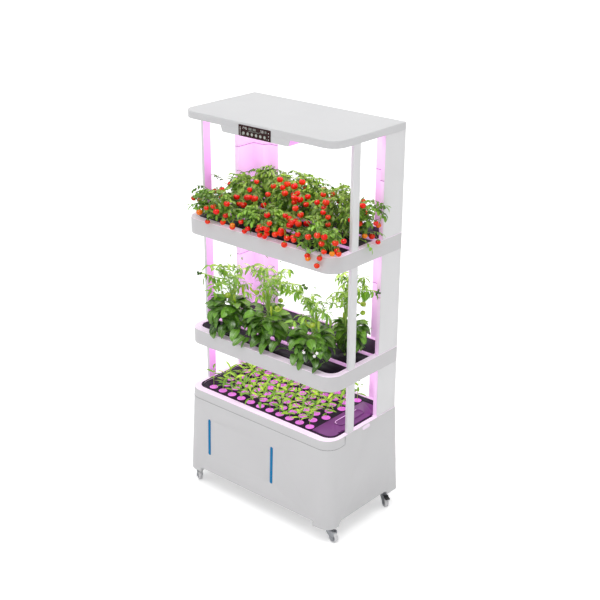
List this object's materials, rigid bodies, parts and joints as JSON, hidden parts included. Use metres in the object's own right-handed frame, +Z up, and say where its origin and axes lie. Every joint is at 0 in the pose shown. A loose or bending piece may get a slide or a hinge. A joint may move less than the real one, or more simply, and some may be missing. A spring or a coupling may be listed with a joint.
{
  "type": "hydroponic vertical garden",
  "caption": "Tall white indoor garden on casters with lit growing tiers of tomatoes, peppers and seedlings above a water tank.",
  "frame": {"origin": "on the floor under the middle of the base", "axes": "+Z up, -Y towards the front with the display, +X to the right as seen from the front"},
  "size_m": [0.8706, 0.47, 1.7],
  "materials": {
    "shell_white": "satin",
    "post_white": "satin",
    "liner_white": "satin",
    "tank_grey": "matte",
    "window_blue": "clear",
    "plate_dark": "satin",
    "lid_dark": "satin",
    "medium": "rough",
    "basket_black": "matte",
    "leaf_seedling": "leaf",
    "leaf_pepper": "leaf",
    "leaf_tomato": "leaf",
    "pipe_grey": "satin",
    "pump_black": "matte",
    "lamp_white": "matte",
    "diffuser": "lit",
    "display_dark": "glossy",
    "key_dark": "glossy",
    "board_green": "satin",
    "supply_metal": "brushed",
    "caster_steel": "zinc plated",
    "axle_steel": "polished",
    "wheel_grey": "matte",
    "lever_black": "matte"
  },
  "bodies": {
    "cabinet": {"base_casing": "shell_white", "base_collar": "shell_white", "base_floor": "shell_white", "water_tank": "tank_grey", "level_windows": "window_blue", "side_plug": "shell_white", "seedling_plate": "plate_dark", "seedling_cups": "medium", "seedlings": "leaf_seedling", "water_pump": "pump_black", "riser_pipe": "pipe_grey", "drain_pipe": "pipe_grey", "middle_tray": "shell_white", "middle_planks": "plate_dark", "middle_baskets": "basket_black", "pepper_plants": "leaf_pepper", "upper_tray": "shell_white", "upper_planks": "plate_dark", "upper_baskets": "basket_black", "tomato_plants": "leaf_tomato", "front_post_left": "post_white", "front_post_right": "post_white", "column_cover_left": "shell_white", "column_cover_right": "shell_white", "column_liner_left": "liner_white", "column_liner_right": "liner_white", "top_cap": "shell_white", "lamp_panel_lower": "lamp_white", "lamp_panel_middle": "lamp_white", "lamp_panel_upper": "lamp_white", "light_bars_lower": "diffuser", "light_bars_middle": "diffuser", "light_bars_upper": "diffuser", "control_box": "shell_white", "display_window": "display_dark", "control_board": "board_green", "power_supply": "supply_metal", "caster_mounts": "caster_steel"},
    "lid": {"access_lid": "lid_dark"},
    "caster_front_left": {"caster_fork_front_left": "caster_steel", "caster_axle_front_left": "axle_steel"},
    "wheel_front_left": {"caster_wheel_front_left": "wheel_grey"},
    "caster_front_right": {"caster_fork_front_right": "caster_steel", "caster_axle_front_right": "axle_steel"},
    "wheel_front_right": {"caster_wheel_front_right": "wheel_grey"},
    "caster_rear_left": {"caster_fork_rear_left": "caster_steel", "caster_axle_rear_left": "axle_steel"},
    "wheel_rear_left": {"caster_wheel_rear_left": "wheel_grey"},
    "brake_rear_left": {"brake_lever_rear_left": "lever_black"},
    "caster_rear_right": {"caster_fork_rear_right": "caster_steel", "caster_axle_rear_right": "axle_steel"},
    "wheel_rear_right": {"caster_wheel_rear_right": "wheel_grey"},
    "brake_rear_right": {"brake_lever_rear_right": "lever_black"},
    "key_1": {"panel_key_1": "key_dark"},
    "key_2": {"panel_key_2": "key_dark"},
    "key_3": {"panel_key_3": "key_dark"},
    "key_4": {"panel_key_4": "key_dark"},
    "key_5": {"panel_key_5": "key_dark"},
    "key_6": {"panel_key_6": "key_dark"}
  },
  "joints": [
    {"name": "access_lid_hinge", "type": "hinge", "parent": "cabinet", "child": "lid", "pos_m": [0.3695, -0.006, 0.471], "axis": [0, 1, 0], "range_deg": [0, 90]},
    {"name": "caster_swivel_front_left", "type": "hinge", "parent": "cabinet", "child": "caster_front_left", "pos_m": [-0.385, -0.192, 0.06], "axis": [0, 0, 1], "continuous": true},
    {"name": "wheel_spin_front_left", "type": "hinge", "parent": "caster_front_left", "child": "wheel_front_left", "pos_m": [-0.36698, -0.20462, 0.022], "axis": [0.5736, 0.8192, 0], "continuous": true},
    {"name": "caster_swivel_front_right", "type": "hinge", "parent": "cabinet", "child": "caster_front_right", "pos_m": [0.385, -0.192, 0.06], "axis": [0, 0, 1], "continuous": true},
    {"name": "wheel_spin_front_right", "type": "hinge", "parent": "caster_front_right", "child": "wheel_front_right", "pos_m": [0.40695, -0.19354, 0.022], "axis": [0.0698, 0.9976, 0], "continuous": true},
    {"name": "caster_swivel_rear_left", "type": "hinge", "parent": "cabinet", "child": "caster_rear_left", "pos_m": [-0.385, 0.178, 0.06], "axis": [0, 0, 1], "continuous": true},
    {"name": "wheel_spin_rear_left", "type": "hinge", "parent": "caster_rear_left", "child": "wheel_rear_left", "pos_m": [-0.40405, 0.167, 0.022], "axis": [0.5, -0.866, 0], "continuous": true},
    {"name": "brake_lever_rear_left", "type": "hinge", "parent": "caster_rear_left", "child": "brake_rear_left", "pos_m": [-0.40752, 0.165, 0.05], "axis": [-0.5, 0.866, 0], "range_deg": [0, 18]},
    {"name": "caster_swivel_rear_right", "type": "hinge", "parent": "cabinet", "child": "caster_rear_right", "pos_m": [0.385, 0.178, 0.06], "axis": [0, 0, 1], "continuous": true},
    {"name": "wheel_spin_rear_right", "type": "hinge", "parent": "caster_rear_right", "child": "wheel_rear_right", "pos_m": [0.40405, 0.167, 0.022], "axis": [0.5, 0.866, 0], "continuous": true},
    {"name": "brake_lever_rear_right", "type": "hinge", "parent": "caster_rear_right", "child": "brake_rear_right", "pos_m": [0.40752, 0.165, 0.05], "axis": [-0.5, -0.866, 0], "range_deg": [0, 18]},
    {"name": "key_1_press", "type": "slide", "parent": "cabinet", "child": "key_1", "axis": [0, 1, 0], "range_m": [0, 0.0012], "stiffness_N_per_m": 400},
    {"name": "key_2_press", "type": "slide", "parent": "cabinet", "child": "key_2", "axis": [0, 1, 0], "range_m": [0, 0.0012], "stiffness_N_per_m": 400},
    {"name": "key_3_press", "type": "slide", "parent": "cabinet", "child": "key_3", "axis": [0, 1, 0], "range_m": [0, 0.0012], "stiffness_N_per_m": 400},
    {"name": "key_4_press", "type": "slide", "parent": "cabinet", "child": "key_4", "axis": [0, 1, 0], "range_m": [0, 0.0012], "stiffness_N_per_m": 400},
    {"name": "key_5_press", "type": "slide", "parent": "cabinet", "child": "key_5", "axis": [0, 1, 0], "range_m": [0, 0.0012], "stiffness_N_per_m": 400},
    {"name": "key_6_press", "type": "slide", "parent": "cabinet", "child": "key_6", "axis": [0, 1, 0], "range_m": [0, 0.0012], "stiffness_N_per_m": 400}
  ]
}
